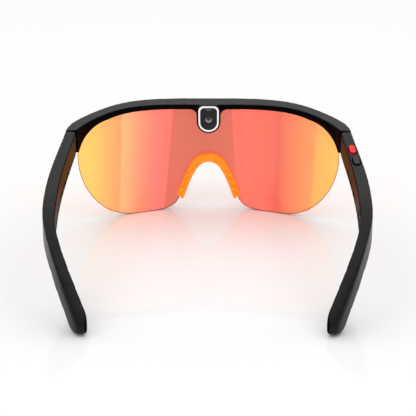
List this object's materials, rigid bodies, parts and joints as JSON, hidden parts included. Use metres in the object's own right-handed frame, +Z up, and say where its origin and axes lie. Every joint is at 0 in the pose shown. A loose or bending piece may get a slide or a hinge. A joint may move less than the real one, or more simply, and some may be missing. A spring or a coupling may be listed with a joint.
{
  "type": "bone conduction audio sunglasses",
  "caption": "Sports sunglasses with a curved mirror shield, a camera pod over the nose, folding hollow temples with audio drivers, and two push buttons.",
  "frame": {"origin": "bottom centre of the bounding box, on the surface that the lens lobes and temple tips rest on", "axes": "+X to the wearer's right, +Y forwards through the lens, +Z up"},
  "size_m": [0.149, 0.148, 0.0578],
  "materials": {
    "frame_plastic": "satin moulded nylon, fine grain",
    "cover_plastic": "satin moulded nylon, slightly darker than the body",
    "lens_coating": "orange mirror coating on a clear polycarbonate shield",
    "nose_rubber": "soft orange silicone rubber",
    "ring_white": "white light guide",
    "panel_black": "gloss black window",
    "satin_steel": "satin",
    "optic_glass": "dark coated glass",
    "status_grey": "smoked light window",
    "board_green": "solder mask",
    "barrel_black": "matt black",
    "flex_copper": "amber film",
    "hinge_steel": "satin",
    "cell_foil": "foil",
    "mesh_steel": "dark woven mesh",
    "contact_gold": "gold plated",
    "button_red": "gloss red",
    "button_black": "satin black"
  },
  "bodies": {
    "front": {"brow_frame": "frame_plastic", "shield_lens": "lens_coating", "nose_pad": "nose_rubber", "indicator_ring": "ring_white", "sensor_panel": "panel_black", "sensor_bezel": "satin_steel", "sensor_lens": "optic_glass", "status_bar": "status_grey", "camera_module": "board_green", "camera_barrel": "barrel_black", "camera_bezel": "satin_steel", "camera_window": "optic_glass", "brow_flex": "flex_copper", "front_hinge_left": "hinge_steel", "front_hinge_right": "hinge_steel", "hinge_pin_left": "hinge_steel", "hinge_pin_right": "hinge_steel"},
    "left_temple": {"left_body": "frame_plastic", "left_cover": "cover_plastic", "left_hinge_leaf": "hinge_steel", "left_battery": "cell_foil", "left_board": "board_green", "left_transducer": "barrel_black", "left_mesh": "mesh_steel", "left_mic": "cell_foil", "left_screws": "hinge_steel"},
    "right_temple": {"right_body": "frame_plastic", "right_cover": "cover_plastic", "right_hinge_leaf": "hinge_steel", "right_battery": "cell_foil", "right_board": "board_green", "right_transducer": "barrel_black", "right_mesh": "mesh_steel", "right_mic": "cell_foil", "right_screws": "hinge_steel", "button_switches": "cell_foil", "charge_contacts": "contact_gold"},
    "record_button": {"record_button": "button_red"},
    "power_button": {"power_button": "button_black"}
  },
  "joints": [
    {"name": "left_temple_fold", "type": "hinge", "parent": "front", "child": "left_temple", "pos_m": [-0.0654, 0.0349, 0.0483], "axis": [0, 0, 1], "range_deg": [0, 91]},
    {"name": "right_temple_fold", "type": "hinge", "parent": "front", "child": "right_temple", "pos_m": [0.0654, 0.0349, 0.0483], "axis": [0, 0, -1], "range_deg": [0, 84]},
    {"name": "record_press", "type": "slide", "parent": "right_temple", "child": "record_button", "axis": [-0.0092, 0.0954, -0.9954], "range_m": [0, 0.0004], "stiffness_N_per_m": 1000, "springref_m": -0.0002},
    {"name": "power_press", "type": "slide", "parent": "right_temple", "child": "power_button", "axis": [-0.0105, 0.1164, -0.9931], "range_m": [0, 0.0004], "stiffness_N_per_m": 1000, "springref_m": -0.0002}
  ]
}
